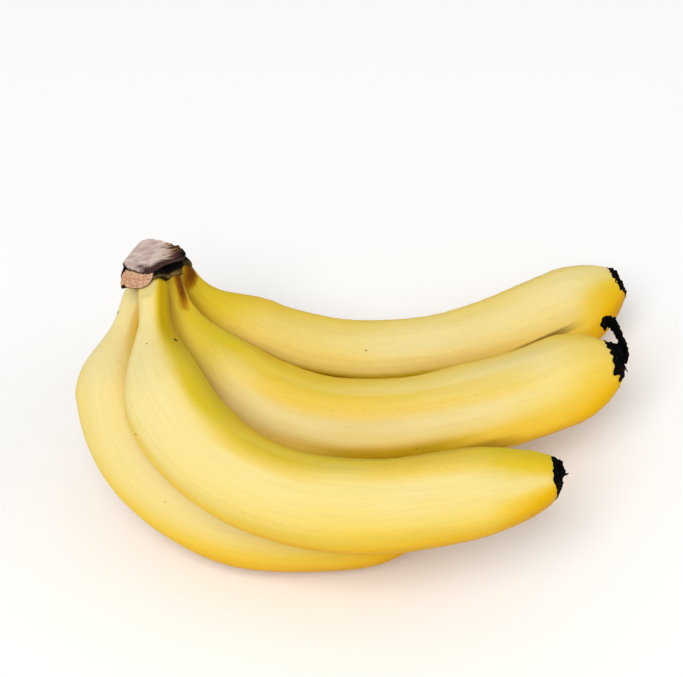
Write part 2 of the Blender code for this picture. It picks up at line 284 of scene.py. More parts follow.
# Strips of painted light where the peel is paler or, below zero, of painted shade where it is more golden
# than
# the way it faces makes it: from and to in mm from the neck, the angle round it, half the strip's width in
# degrees, and the amount.
PAINTED_LIGHT_STRIPS = {
    "back": ((-30, 26, 70, 60, -0.15), (184, 230, 112, 52, -0.70), (20, 130, 25, 40, 0.10)),
    "middle": ((-30, 26, 95, 60, -0.25), (52, 168, 70, 18, -0.25), (56, 158, 101, 19, 0.16),
               (182, 230, 80, 90, -0.28)),
    "front": ((-30, 20, 30, 45, -0.15), (132, 230, 64, 20, -0.25), (192, 230, 48, 40, -0.25),
              (184, 230, 160, 34, -0.45), (202, 230, 100, 60, -0.40), (188, 230, 62, 40, -0.45),
              (76, 118, 74, 15, -0.22)),
    "outer": ((-30, 30, 95, 80, 0.22), (70, 230, 168, 34, -0.15)),
}
# A greener yellow near the neck and on the hollow side: partly younger peel, partly painted shade where the
# neighbours shade the necks and the hollow side is turned from the lamp.
YOUNG_AND_SHADE_STRIPS = {
    "back": ((-30, 32, 55, 80, 0.85), (188, 230, 66, 36, 0.4)),
    "middle": ((-30, 44, 70, 75, 0.80), (30, 90, 25, 34, 0.4)),
    "front": ((-30, 70, 30, 42, 0.95), (50, 130, 46, 30, 0.55), (120, 200, 30, 20, 0.4),
              (178, 230, 52, 40, 0.8)),
    "outer": (),
}
# Olive strips of painted shade, the same way: by the crown and where one banana shades the next.
OLIVE_SHADE_STRIPS = {
    "back": ((-30, 0, 60, 90, 0.35), (38, 122, 103, 11, 0.95), (124, 160, 103, 7, 0.5)),
    "middle": ((-30, 8, 90, 70, 0.30), (88, 138, 140, 17, 0.85), (136, 152, 150, 16, 0.35)),
    "front": ((-30, 30, 16, 50, 1.0), (-30, 0, 60, 80, 0.75), (24, 80, 30, 20, 0.22),
              (104, 180, 27, 13, 0.35), (80, 112, 74, 12, 0.14)),
    "outer": (),
}
# Where two bananas touch, the skin has rubbed brown, and painted shadow darkens the crevice between them.
RUB_AND_SHADE_STRIPS = {
    "back": ((46, 84, 102, 7, 0.85), (92, 140, 100, 4, 0.4), (148, 172, 97, 6, 0.9)),
    "middle": ((84, 120, 140, 5, 0.6), (128, 156, 149, 14, 0.65), (2, 62, 1, 9, 0.75),
               (62, 130, 3, 6, 0.4)),
    "front": ((4, 34, 356, 9, 0.45), (34, 60, 6, 8, 0.4)),
    "outer": (),
}
STRIP_END = 24.0         # mm over which a strip's ends fade
# Brown stains that sap has left on two necks: the angle at the root, the degrees that it turns with each mm,
# half its width in degrees at the root and further on, and the mm where it starts to fade and is gone.
STAINS = {"back": (-10.0, 8.0, 46.0, 46.0, 6.0, 14.0), "middle": (20.0, 2.7, 32.0, 24.0, 7.0, 23.0)}


def strip_sum(strips, s, around):
    """Sum of soft-edged strips: each is its amount times a rise along the banana times a rise across."""
    total = np.zeros_like(s)
    for start, stop, middle, half, amount in strips:
        across = np.abs((around - middle + 180.0) % 360.0 - 180.0)
        along = smooth((s - start) / STRIP_END + 0.5) * smooth((stop - s) / STRIP_END + 0.5)
        total += amount * along * smooth((half * 1.35 - across) / (half * 0.7))
    return total


def peel_masks(b, name, straight, ways):
    """How much painted light the peel has at each point, how much greener yellow, from younger peel and
    painted shade, and olive painted shade, and where it is rubbed and shaded between bananas, stained,
    withered or on a ridge. The painted light is the cosine of the angle to the lamp's side, so it turns
    golden, as painted shade, towards the far side, plus the strips. A stain is exp(-distance squared) round
    the neck, fading along it."""
    s = straight[..., 0]
    around = np.degrees(np.arctan2(straight[..., 2], straight[..., 1])) % 360.0
    masks = {"painted_light": ways @ PAINTED_LIGHT_SIDE + strip_sum(PAINTED_LIGHT_STRIPS[name], s, around)}
    for label, strips in {"young_and_shade": YOUNG_AND_SHADE_STRIPS, "olive": OLIVE_SHADE_STRIPS, "rub_and_shade": RUB_AND_SHADE_STRIPS}.items():
        masks[label] = np.clip(strip_sum(strips[name], s, around), 0.0, 1.0)
    masks["stain"] = np.zeros_like(s)
    if name in STAINS:
        angle, twist, root_half, half, fade, gone = STAINS[name]
        width = half + (root_half - half) * smooth((9.0 - s) / 6.0)
        masks["stain"] = 1.15 * np.exp(-((around - angle - twist * s) / width) ** 2)
        masks["stain"] *= 1.0 - smooth((s - fade) / (gone - fade))
    masks["withered"] = smooth((s - b["length"] + 1.6) / 1.6)
    crest = np.clip(ridge_wave(b, np.radians(around)) / (1.0 + RIDGE_SHARPNESS), 0.0, 1.0)
    masks["ridge"] = crest ** 6 * smooth((s - 6.0) / 12.0)
    return masks


# Peel of a ripe banana: a tough skin with a thin natural wax, grown in long fibres. To the eye it is pale
# yellow with hardly a highlight, faint lengthwise streaks a millimetre wide, pores and a few brown freckles.
# The patterns lie on the banana pulled straight, with their sizes in mm along it and across it. Pores are
# finer than the render shows, so they are drawn 1.1 mm apart.
CLOUD_SIZE = (55.56, 20.0, 20.0)
FIBRE_SIZE = (28.57, 1.3333, 1.3333)
TEAR_SIZE = (6.667, 1.111, 1.111)
FRECKLE_GAP = (11.765 / 0.7, 11.765, 11.765)
PORE_GAP, GRAIN_SIZE, MARK_EDGE = 1.1111, 1.25, 0.625
PEEL_COLOURS = {
    "shade gold": "#CE9200", "gold": "#E8B200", "yellow": "#EAC950", "sheen cream": "#ECDC9A",
    "young_and_shade": "#DDC22A", "olive": "#BE9E0A", "rub_and_shade": "#74500A", "fibre": "#C9A21C", "ridge": "#B98A1E",
    "freckle": "#7A4E14", "mark": "#1E1604", "sap": "#A96E08", "dried sap": "#682A02", "withered": "#4A3410",
}
peel, tree, shader, own = new_material("ripe_banana_peel", "painted_light", "young_and_shade", "olive", "rub_and_shade", "stain",
                                      "withered", "ridge", "straight")
hue = {label: linear(code) for label, code in PEEL_COLOURS.items()}
straight = own["straight"].node.outputs["Vector"]
clouds = put(tree, put(tree, straight, CLOUD_SIZE, **OVER), 1.0, 3.0, **NOISE)
fibres = put(tree, put(tree, straight, FIBRE_SIZE, **OVER), 1.0, 4.0, 0.6, **NOISE)
pores = put(tree, straight, 1.0 / PORE_GAP, **CELLS)
grain = put(tree, straight, 1.0 / GRAIN_SIZE, 5.0, 0.65, **NOISE)
# Painted light and shade: cream where the peel faces the lamp stands for its sheen, gold facing away for
# shade.
painted_light = stirred(tree, own["painted_light"], clouds, 0.35)
colour = put(tree, put(tree, painted_light, -0.6, 0.0, **RAMP), hue["shade gold"], hue["gold"], **MIX)
colour = put(tree, put(tree, painted_light, 0.0, 0.5, **RAMP), colour, hue["yellow"], **MIX)
colour = put(tree, put(tree, painted_light, 0.5, 1.0, **RAMP), colour, hue["sheen cream"], **MIX)
# Greener yellow: younger peel and painted shade.
colour = put(tree, own["young_and_shade"], colour, hue["young_and_shade"], **MIX)
# Olive: painted shade by the crown and between bananas.
colour = put(tree, own["olive"], colour, hue["olive"], **MIX)
# Brown where bananas touch: rubbed skin and painted shadow in the crevice.
rub_and_shade = stirred(tree, own["rub_and_shade"], clouds, 0.8)
colour = put(tree, put(tree, rub_and_shade, 0.05, 0.95, 0.0, 0.85, **EASE), colour, hue["rub_and_shade"], **MIX)
colour = put(tree, put(tree, fibres, 0.42, 0.7, 0.0, 0.10, **EASE), colour, hue["fibre"], **MIX)
worn = put(tree, own["ridge"], put(tree, grain, 0.45, 0.7, 0.0, 0.14, **EASE), **TIMES)
colour = put(tree, worn, colour, hue["ridge"], **MIX)
freckle = put(tree, put(tree, straight, FRECKLE_GAP, **OVER), 1.0, **CELLS)
lot = put(tree, freckle.node.outputs["Color"], kind="ShaderNodeSeparateColor")
freckles = put(tree, freckle, put(tree, lot, 0.45, 1.0, 0.0, 0.05, **EASE), **BELOW)
colour = put(tree, put(tree, freckles, 0.55, **TIMES), colour, hue["freckle"], **MIX)

# Marks that the peel has picked up: the banana, the mm from its neck, the angle round it and the radius.
MARKS = (("outer", 12, 134, 0.9), ("outer", 18, 26, 0.5), ("front", 30, 106, 0.35), ("front", 28, 30, 1.0),
         ("front", 20, 9, 0.7), ("front", 22, 16, 0.65), ("front", 24, 11, 0.6), ("front", 57, 170, 0.45),
         ("front", 102, 179, 0.55), ("front", 107, 176, 0.5), ("middle", 120, 128, 0.4),
         ("back", 88, 60, 0.4))
names = list(BANANAS)
marked = 0.0
ragged = put(tree, straight, 1.0 / MARK_EDGE, 3.0, **NOISE)
warp = put(tree, straight, ragged.node.outputs["Color"], **SHIFT)
for name, s, around, radius in MARKS:
    b = BANANAS[name]
    r = float(girth(b, np.array([float(s)]))[0])
    # The warp moves each point by about half a millimetre every way, so the centre moves with it.
    centre = (s + APART * names.index(name) + 0.5, r * math.cos(math.radians(around)) + 0.5,
              r * math.sin(math.radians(around)) + 0.5)
    away = put(tree, warp, centre, **BETWEEN)
    marked = put(tree, marked, put(tree, away, radius * 0.6, radius * 1.3, 1.0, 0.0, **EASE), **LARGER)
colour = put(tree, marked, colour, hue["mark"], **MIX)
torn = put(tree, put(tree, straight, TEAR_SIZE, **OVER), 1.0, 4.0, **NOISE)
stain = stirred(tree, own["stain"], torn, 0.5)
stain_colour = put(tree, put(tree, stain, 0.5, 1.05, **EASE), hue["sap"], hue["dried sap"], **MIX)
colour = put(tree, put(tree, stain, 0.15, 0.65, 0.0, 0.92, **EASE), colour, stain_colour, **MIX)
withered = put(tree, own["withered"], put(tree, fibres, 0.3, 0.7, -0.3, 0.3, **EASE), **ADD)
colour = put(tree, put(tree, withered, 0.35, 0.9, **EASE), colour, hue["withered"], **MIX)
height = put(tree, put(tree, fibres, 0.6, **TIMES), put(tree, grain, 0.35, **TIMES), **ADD)
height = put(tree, height, put(tree, put(tree, pores, 0.0, 0.35, **EASE), 0.12, **TIMES), **ADD)
tree.links.new(colour, shader.inputs["Base Color"])
tree.links.new(put(tree, grain, 0.3, 0.7, 0.42, 0.56, **EASE), shader.inputs["Roughness"])
tree.links.new(put(tree, height, 0.35, 0.0005, **RELIEF), shader.inputs["Normal"])
# Wax bends light by 1.44. Its shine is turned far down, because the photograph shows hardly any.
shader.inputs["IOR"].default_value = 1.44
shader.inputs["Specular IOR Level"].default_value = 0.04
shader.inputs["Subsurface Weight"].default_value = 0.12
shader.inputs["Subsurface Radius"].default_value = (1.0, 0.6, 0.15)
shader.inputs["Subsurface Scale"].default_value = 0.002

for number, (name, b) in enumerate(BANANAS.items()):
    rings, pulled, ways = peel_rings(name, b, number + 1)
    values = peel_masks(b, name, pulled, ways)
    values["straight"] = pulled + np.array([APART * number, 0.0, 0.0])
    banana = closed_skin("peel_" + name, rings, values)
    banana.data.materials.append(peel)
    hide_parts("banana_" + name)
    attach(banana, "root")

# The crown
# The dried stub that the four necks grow from, cut slanting across the top with a knife, with a smaller
# corky cut at the front left where a fifth banana was taken off. Its own axes are x right, y away and z up
# the picture.
CROWN_LEAN = 47.0
CUT_HEIGHT, CUT_SLOPE, CUT_TILT = 8.0, 0.44, 0.08
CUT_CORNERS = ((-7.1, 20.3), (-3.9, 20.0), (-0.5, 17.5), (4.6, 11.3), (8.8, 6.0), (11.5, -0.6), (11.0, -6.2),
               (7.6, -6.8), (3.9, -8.3), (0.4, -12.4), (-1.3, -14.4), (-5.2, -13.0), (-10.7, -6.0),
               (-12.7, -0.4), (-12.5, 1.4), (-10.2, 10.4))
CUT_MIDDLE = np.array((-1.7, -0.2))
SIDE_CUT_NORMAL = np.array((-0.388, -0.651, 0.652))
SIDE_CUT_DEPTH = 11.1
STUB = (-6.6, -10.6, 6.2)            # the fifth banana's: centre x, centre y, radius
STUB_DROP = (-6.4, 6.3, -0.4, 4.0)   # its lower edge, half an oval: middle x, half width, end height, drop
# How far the collar reaches along each neck from its root, and how much wider than the neck it is.
COLLARS = {"back": (4.4, -0.2), "middle": (2.2, 0.3), "front": (0.8, 0.4), "outer": (0.2, 1.2)}
MELT = 1.1                           # mm over which the circles round the necks run into each other
RIM_LIP = 0.35                       # mm that the side swells out just under the rim
GROOVE = (1.5, 0.24, 0.13)           # depth, then place and width as shares of the way down the side
GROOVE_TURN = 0.75                   # radians from the right to the middle of the groove
STUB_TURN, STUB_SPREAD = 4.15, 0.95  # radians from the right to the stub, and half its width
CROWN_SIDES = 360
FACE_ROWS, WALL_ROWS, UNDER_ROWS = 70, 80, 12

crown_turn = np.array(Matrix.Rotation(math.radians(-CROWN_LEAN), 3, "X"))
crown_middle = np.array([b["root"] for b in BANANAS.values()]).mean(axis=0)
crown_necks = []
for name, b in BANANAS.items():
    way = crown_turn.T @ finger_frame(b) @ np.array([1.0, 0.0, 0.0])
    start = crown_turn.T @ (np.array(b["root"]) - crown_middle)
    crown_necks.append((start + way * COLLARS[name][0], way, b["neck_radius"] + COLLARS[name][1]))


def cut_height(x, y):
    """Height of the slanting cut: a plane."""
    return CUT_HEIGHT + CUT_SLOPE * y + CUT_TILT * x


def rim_radius(around):
    """Distance from the middle of the cut to its edge: straight lines between the corners, slightly
    rounded."""
    corners = np.array(CUT_CORNERS) - CUT_MIDDLE
    to_next = np.roll(corners, -1, axis=0) - corners
    filled = np.concatenate([corners + to_next * t for t in (0.0, 0.25, 0.5, 0.75)])
    way = np.arctan2(filled[:, 1], filled[:, 0])
    order = np.argsort(way)
    fine = np.linspace(-math.pi, math.pi, 720, endpoint=False)
    r = np.interp(fine, way[order], np.hypot(*filled.T)[order], period=2.0 * math.pi)
    window = np.hanning(21) / np.hanning(21).sum()
    r = np.convolve(np.concatenate([r[-10:], r, r[:10]]), window, mode="valid")
    return np.interp(around, fine, r, period=2.0 * math.pi)


def foot_radius(around):
    """Distance from the middle to the outermost edge of the circles round the necks and the stub, run into
    each other by the logarithm of a sum of exponentials."""
    way = np.stack([np.cos(around), np.sin(around)], axis=1)
    far = np.linspace(26.0, 2.0, 241)
    points = CUT_MIDDLE + way[:, None, :] * far[None, :, None]
    circles = [(c[0], c[1], r) for c, _, r in crown_necks] + [STUB]
    gaps = np.stack([np.hypot(points[..., 0] - x, points[..., 1] - y) - r for x, y, r in circles], axis=-1)
    field = -MELT * np.log(np.exp(-gaps / MELT).sum(axis=-1))
    first = np.argmax(field < 0.0, axis=1)
    rows = np.arange(len(around))
    before, after = field[rows, first - 1], field[rows, first]
    return far[first] + (far[first - 1] - far[first]) * (-after) / (before - after)


def collar_height(x, y):
    """Height where the crown ends: the planes square to the necks, weighted by how near each neck is, and at
    the front left no higher than the half oval under the side cut."""
    planes = [(c[0], c[1], c[2] - (n[0] * (x - c[0]) + n[1] * (y - c[1])) / n[2])
              for c, n, _ in crown_necks]
    weights = [np.exp(-((x - px) ** 2 + (y - py) ** 2) / 30.0) + 1e-9 for px, py, _ in planes]
    height = sum(w * p[2] for w, p in zip(weights, planes)) / sum(weights)
    middle, half, ends, drop = STUB_DROP
    oval = ends - drop * np.sqrt(np.clip(1.0 - ((x - middle) / half) ** 2, 0.0, 1.0))
    in_stub = smooth((half - np.abs(x - middle)) / 0.4) * smooth((-3.0 - y) / 3.0)
    height = height + (np.minimum(oval, height + 4.0) - height) * in_stub
    between = smooth((x + 0.5) / 1.5) * smooth((8.0 - x) / 2.0) * smooth((2.0 - y) / 3.0)
    return height + (np.maximum(height, -2.0) - height) * between


def crown_surface():
    """The crown's skin as rows of points from the middle of the cut, over its edge, down the side, and under
    to the axis. The side goes from the rim's outline to the lobes round the necks, with a groove under the
    rim on the right; whatever lies beyond the side cut's plane is drawn in to it along its own radius."""
    around = np.linspace(0.0, 2.0 * math.pi, CROWN_SIDES, endpoint=False)
    way = np.stack([np.cos(around), np.sin(around)], axis=1)
    rim, foot = rim_radius(around), foot_radius(around)
    right = np.clip(np.cos(around + GROOVE_TURN), 0.0, 1.0) ** 0.6
    stub = smooth((STUB_SPREAD - np.abs(around - STUB_TURN)) / 0.35)
    depth, groove_at, groove_width = GROOVE
    slope = way @ SIDE_CUT_NORMAL[:2]

    def draw_in(reach, z):
        """The reach, stopped at the side cut's plane at the height z, and how far it went past it."""
        start = SIDE_CUT_DEPTH - CUT_MIDDLE @ SIDE_CUT_NORMAL[:2] - z * SIDE_CUT_NORMAL[2]
        allowed = np.where(slope > 0.05, np.maximum(start / np.maximum(slope, 0.05), 1.0), 99.0)
        return np.minimum(reach, allowed), reach - allowed

    rows, face, wall, cut, rimward = [], [], [], [], []
    # The slanting cut, from its middle to its rim.
    for t in np.linspace(0.02, 1.0, FACE_ROWS) ** 0.8:
        rimward.append(np.full(CROWN_SIDES, t))
        flat = CUT_MIDDLE + way * (rim * t)[:, None]
        r, past = draw_in(rim * t, cut_height(*flat.T))
        flat = CUT_MIDDLE + way * r[:, None]
        rows.append(np.column_stack([flat, cut_height(*flat.T) - 0.5 * max(0.0, (t - 0.95) / 0.05) ** 2]))
        face.append(np.ones(CROWN_SIDES))
        wall.append(np.zeros(CROWN_SIDES))
        cut.append(past)
    # The side, from the rim down to the collars.
    rim_z = rows[-1][:, 2]
    low_z = collar_height(*(CUT_MIDDLE + way * foot[:, None]).T)
    for _ in range(4):
        low = CUT_MIDDLE + way * draw_in(foot, low_z)[0][:, None]
        low_z = np.minimum(collar_height(*low.T), rim_z - 3.0)
    for w in np.linspace(0.0, 1.0, WALL_ROWS + 1)[1:]:
        z = rim_z + (low_z - rim_z) * w
        r = rim + (foot - rim) * smooth(w * (1.15 + 9.0 * stub))
        r = r + RIM_LIP * math.sin(math.pi * min(w * 6.0, 1.0)) * (1.0 - stub)
        r = r - depth * right * (1.0 - stub) * math.exp(-((w - groove_at) / groove_width) ** 2)
        r, past = draw_in(r - 0.6 * max(0.0, (w - 0.9) / 0.1) ** 2, z)
        rows.append(np.column_stack([CUT_MIDDLE + way * r[:, None], z]))
        face.append(np.full(CROWN_SIDES, 1.0 - smooth(w * 14.0)))
        wall.append(np.full(CROWN_SIDES, w))
        cut.append(past)
    # The underside, in to the axis.
    last = rows[-1]
    for t in np.linspace(0.0, 1.0, UNDER_ROWS + 1)[1:]:
        flat = CUT_MIDDLE + (last[:, :2] - CUT_MIDDLE) * (1.0 - 0.97 * t)
        rows.append(np.column_stack([flat, last[:, 2] + 2.0 * math.sin(math.pi * t * 0.5)]))
        face.append(np.zeros(CROWN_SIDES))
        wall.append(np.ones(CROWN_SIDES))
        cut.append(np.full(CROWN_SIDES, -9.0))
    rimward += [np.ones(CROWN_SIDES)] * (len(rows) - FACE_ROWS)
    return [np.array(part) for part in (rows, face, wall, cut, rimward)]


# From the underside up, so that the faces point outwards.
points, face, wall, drawn_in, rimward = [part[::-1] for part in crown_surface()]
side_cut = smooth(drawn_in / 0.25)
corky = smooth((drawn_in + 2.2) / 0.4) * (1.0 - face) * (points[..., 1] < -2.0)
reach = np.linalg.norm(points[..., :2] - CUT_MIDDLE, axis=-1)
outward = (points - np.array([*CUT_MIDDLE, 0.0])) / np.maximum(reach, 1.0)[..., None]
outward[..., 2] = 0.0
coarse = ripples(points * (1.0, 1.0, 0.35), 4.5, 31)
fine = ripples(points * (1.0, 1.0, 0.5), 1.7, 32)
skin = (1.0 - face) * (1.0 - side_cut) * (wall < 1.0)
points = points + outward * ((0.32 * coarse + 0.12 * fine) * skin)[..., None]
shreds = face * smooth((points[..., 0] - 1.0) / 5.0)
waves = 0.05 * ripples(points, 7.0, 35) * face
waves += 0.28 * ripples(points * (0.3, 0.9, 1.0), 2.4, 33) * shreds
waves += 0.16 * ripples(points, 1.5, 36) * face * smooth((rimward - 0.72) / 0.2)
points[..., 2] += waves * (rimward < 0.999)
points = points - SIDE_CUT_NORMAL * (side_cut * (0.22 + 0.14 * ripples(points, 1.8, 34)))[..., None]
values = {"face": face, "wall": wall, "corky": corky, "rimward": rimward, "local": points}
crown = closed_skin("crown_stub", points @ crown_turn.T + crown_middle, values)

# The same knife shaved the top of the front banana's neck: what lies beyond the side cut goes back to it.
neck = bpy.data.objects["peel_front"].data
places = np.empty(len(neck.vertices) * 3)
neck.vertices.foreach_get("co", places)
places = (places.reshape(-1, 3) / MM - crown_middle) @ crown_turn
past = np.clip(places @ SIDE_CUT_NORMAL - SIDE_CUT_DEPTH + 0.8, 0.0, None)
places -= (past * smooth((places[:, 2] + 9.0) / 3.0))[:, None] * SIDE_CUT_NORMAL
neck.vertices.foreach_set("co", ((places @ crown_turn.T + crown_middle) * MM).ravel())
neck.update()

# Banana crown after cutting: soft plant tissue that has dried in air to a mauve-grey skin on the cut, pinkish
# cork where the fifth banana was, and olive to black where the sap ran; the groove under the rim is painted
# near-black as shade. Matt everywhere, with a fibrous, granular relief. The sizes of its patterns are in mm.
CROWN_FIBRE_SIZE = (6.41, 1.5385, 0.8547)
BLOTCH_SIZE, CORK_GRANULE, GRIT_SIZE = 4.5455, 0.8333, 0.5882
CROWN_COLOURS = {
    "cut": "#E5D0C3", "mauve": "#C8ADA2", "cut fibre": "#A38A80", "torn fibre": "#AA7E54",
    "torn dark": "#402612", "bruise": "#5E3C3A", "dark bruise": "#1E0E10", "char": "#100C08",
    "rim": "#4A3430", "granule": "#B48062", "cork": "#EABC96", "cork pit": "#8A5A44",
    "cork top": "#8A6248", "olive": "#846F3A", "brown": "#463612", "grit": "#A08C5C",
    "groove_shade": "#0C0806", "hem": "#2A1808", "left end": "#120C07", "outline": "#22130A",
}
cork, tree, shader, own = new_material("dried_banana_crown", "face", "wall", "corky", "rimward", "local")
hue = {label: linear(code) for label, code in CROWN_COLOURS.items()}
local = own["local"].node.outputs["Vector"]
x, y, z = put(tree, local, kind="ShaderNodeSeparateXYZ").node.outputs
fibre = put(tree, put(tree, local, CROWN_FIBRE_SIZE, **OVER), 1.0, 5.0, 0.65, **NOISE)
blotch = put(tree, local, 1.0 / BLOTCH_SIZE, 3.0, **NOISE)
granules = put(tree, local, 1.0 / CORK_GRANULE, 3.0, 0.75, **NOISE)
grit = put(tree, local, 1.0 / GRIT_SIZE, 5.0, 0.7, **NOISE)
right = stirred(tree, x, blotch, 6.0)
shredded = stirred(tree, right, fibre, 9.0)

# The slanting cut: mauve-grey, torn brown towards the right, bruised along its front edge, black at the end.
cut_colour = put(tree, put(tree, blotch, 0.35, 0.65, **EASE), hue["cut"], hue["mauve"], **MIX)
cut_colour = put(tree, put(tree, fibre, 0.45, 0.75, 0.0, 0.25, **EASE), cut_colour, hue["cut fibre"], **MIX)
brown = put(tree, put(tree, fibre, 0.38, 0.62, **EASE), hue["torn fibre"], hue["torn dark"], **MIX)
cut_colour = put(tree, put(tree, shredded, 1.5, 6.5, **EASE), cut_colour, brown, **MIX)
near_rim = put(tree, stirred(tree, own["rimward"], grit, 0.35), 0.44, 0.76, **EASE)
front_edge = put(tree, put(tree, y, put(tree, right, -0.55, **TIMES), **ADD), 1.0, -5.0, **EASE)
bruised = put(tree, put(tree, near_rim, front_edge, **TIMES), put(tree, right, -7.5, -3.5, **EASE), **TIMES)
bruise = put(tree, put(tree, grit, 0.4, 0.62, **EASE), hue["bruise"], hue["dark bruise"], **MIX)
cut_colour = put(tree, bruised, cut_colour, bruise, **MIX)
cut_colour = put(tree, put(tree, shredded, 7.5, 11.0, **EASE), cut_colour, hue["char"], **MIX)
rim = put(tree, own["rimward"], 0.955, 0.995, 0.0, 0.75, **EASE)
cut_colour = put(tree, rim, cut_colour, hue["rim"], **MIX)

# The cork where the fifth banana was: pinkish granules with brown pits, darker under the rim.
cork_colour = put(tree, put(tree, granules, 0.36, 0.6, **EASE), hue["granule"], hue["cork"], **MIX)
cork_colour = put(tree, put(tree, grit, 0.56, 0.7, **EASE), cork_colour, hue["cork pit"], **MIX)
cork_top = put(tree, put(tree, z, put(tree, grit, 3.0, **TIMES), **ADD), 4.0, 6.5, 0.0, 0.6, **EASE)
cork_colour = put(tree, cork_top, cork_colour, hue["cork top"], **MIX)

# The side: olive and brown, near-black painted shade in the groove under the rim, and black at the left end.
skin_colour = put(tree, put(tree, blotch, 0.42, 0.6, **EASE), hue["olive"], hue["brown"], **MIX)
skin_colour = put(tree, put(tree, grit, 0.5, 0.72, 0.0, 0.45, **EASE), skin_colour, hue["grit"], **MIX)
# Near-black painted shade in the groove under the overhanging rim.
groove_shade = put(tree, stirred(tree, own["wall"], blotch, 0.6), 0.72, 0.56, **EASE)
skin_colour = put(tree, groove_shade, skin_colour, hue["groove_shade"], **MIX)
skin_colour = put(tree, put(tree, own["wall"], 0.9, 0.98, 0.0, 0.8, **EASE), skin_colour, hue["hem"], **MIX)
left_end = put(tree, put(tree, x, -7.5, -10.0, **EASE), put(tree, z, 0.0, 1.5, **EASE), **TIMES)
skin_colour = put(tree, left_end, skin_colour, hue["left end"], **MIX)

# The cork ends on the right in a curve, x = -0.12 times the height squared, with a ragged dark outline.
above = put(tree, z, 0.5, **MINUS)
curve = put(tree, x, put(tree, above, put(tree, above, 0.12, **TIMES), **TIMES), **ADD)
cork_here = put(tree, stirred(tree, curve, grit, 1.4), 0.3, -0.3, **EASE)
cork_here = put(tree, own["corky"], cork_here, **TIMES)
colour = put(tree, own["face"], skin_colour, cut_colour, **MIX)
colour = put(tree, cork_here, colour, cork_colour, **MIX)
edge = put(tree, cork_here, put(tree, 1.0, cork_here, **MINUS), **TIMES)
lower_edge = put(tree, cork_here, put(tree, own["wall"], 0.955, 0.985, **EASE), **TIMES)
outline = put(tree, put(tree, edge, 0.02, 0.2, **EASE), lower_edge, **LARGER)
colour = put(tree, outline, colour, hue["outline"], **MIX)
torn_height = put(tree, fibre, put(tree, shredded, 0.0, 6.0, 0.15, 0.9, **EASE), **TIMES)
height = put(tree, torn_height, put(tree, grit, 0.7, **TIMES), **ADD)
height = put(tree, height, put(tree, put(tree, granules, own["corky"], **TIMES), 0.8, **TIMES), **ADD)
tree.links.new(colour, shader.inputs["Base Color"])
tree.links.new(put(tree, grit, 0.3, 0.7, 0.72, 0.95, **EASE), shader.inputs["Roughness"])
tree.links.new(put(tree, height, 0.7, 0.0006, **RELIEF), shader.inputs["Normal"])
shader.inputs["Specular IOR Level"].default_value = 0.05
crown.data.materials.append(cork)
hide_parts("crown")
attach(crown, "root")

# The blossom ends
# What is left of each banana's flower: a black, brittle, ragged cap where the petals were, shrunk on to the
# tip. The middle banana still has its style, a dried strand that curls round and ends in a frayed knob.
CAP_SIDES = 120
CAP_REACH = 7.0          # mm from the middle of a cap to its edge
# Each crust's height above the end, and how far it hangs back over the peel on the upper side, both read
# from the banana's outer side to its hollow side, 2 mm apart.
CRUSTS = {
    "back": (0.3, 0.4, 0.4, 0.4, 0.6, 1.1, 1.5, 0.9),
    "middle": (0.3, 0.6, 1.4, 2.3, 2.9, 2.9, 2.5, 1.4),
    "front": (0.3, 0.4, 1.2, 2.0, 2.4, 1.9, 1.1, 0.4),
    "outer": (0.8, 2.2, 3.5, 4.2, 3.6, 2.9, 2.0, 1.0),
}
DRAPES = {
    "back": (0.3, 0.6, 1.0, 1.6, 2.0, 1.8, 0.8, 0.3),
    "middle": (1.0, 2.4, 3.4, 3.2, 2.8, 2.4, 1.2, 0.3),
    "front": (0.4, 1.2, 1.8, 2.0, 2.0, 1.6, 0.9, 0.4),
    "outer": (0.5, 0.5, 0.5, 0.5, 0.5, 0.5, 0.5, 0.5),
}
# The style: points that pull its curve, in the end's own axes, and its radii at equal steps along it.
STYLE_PATH = ((2.6, -3.4, 1.2), (4.0, -2.0, 1.2), (5.4, 1.5, 1.2), (5.4, 4.5, 1.6), (4.8, 7.5, 2.0),
              (5.6, 9.5, 2.3), (6.1, 12.0, 2.6), (5.6, 15.2, 2.8), (3.2, 16.2, 3.0), (1.2, 13.4, 3.0),
              (1.2, 11.4, 3.0))
STYLE_RADII = (0.2, 0.8, 1.3, 1.5, 1.45, 1.3, 1.3, 1.45, 1.7, 1.95, 2.1, 2.3, 1.8, 1.1, 0.3)
# Shreds of petal: the banana, then points along each in the end's own axes.
SHREDS = (("middle", (0.2, -5.6, 2.0), (-1.2, -7.2, 1.4), (-2.6, -8.8, 1.2), (-3.8, -10.2, 1.8)),
          ("middle", (-1.6, 4.8, 6.0), (-2.8, 5.8, 6.8), (-3.6, 5.6, 7.4), (-3.4, 6.6, 7.8)),
          ("middle", (-2.2, 0.6, 8.4), (-3.6, 0.4, 9.4), (-4.6, -0.4, 9.8), (-4.6, -1.6, 10.0)),
          ("middle", (1.4, -2.6, 1.0), (2.2, -4.0, 1.2), (1.4, -5.2, 1.2), (2.0, -6.4, 1.4)),
          ("front", (3.6, 0.0, 0.6), (4.6, 0.4, 0.6), (5.3, 0.2, 0.5), (5.9, 0.6, 0.4)),
          ("front", (0.6, -5.2, 1.0), (-0.2, -6.6, 0.6), (-1.0, -7.4, 0.4), (-1.6, -8.0, 0.2)),
          ("back", (0.8, -5.0, 0.6), (0.2, -6.6, 0.4), (-1.0, -7.6, 0.4), (-2.4, -8.2, 0.6)),
          ("outer", (1.2, 3.0, -4.0), (0.2, 4.0, -5.6), (-1.0, 4.8, -6.4), (-2.0, 4.6, -7.0)))
SHRED_RADII = (0.55, 0.42, 0.3, 0.12)


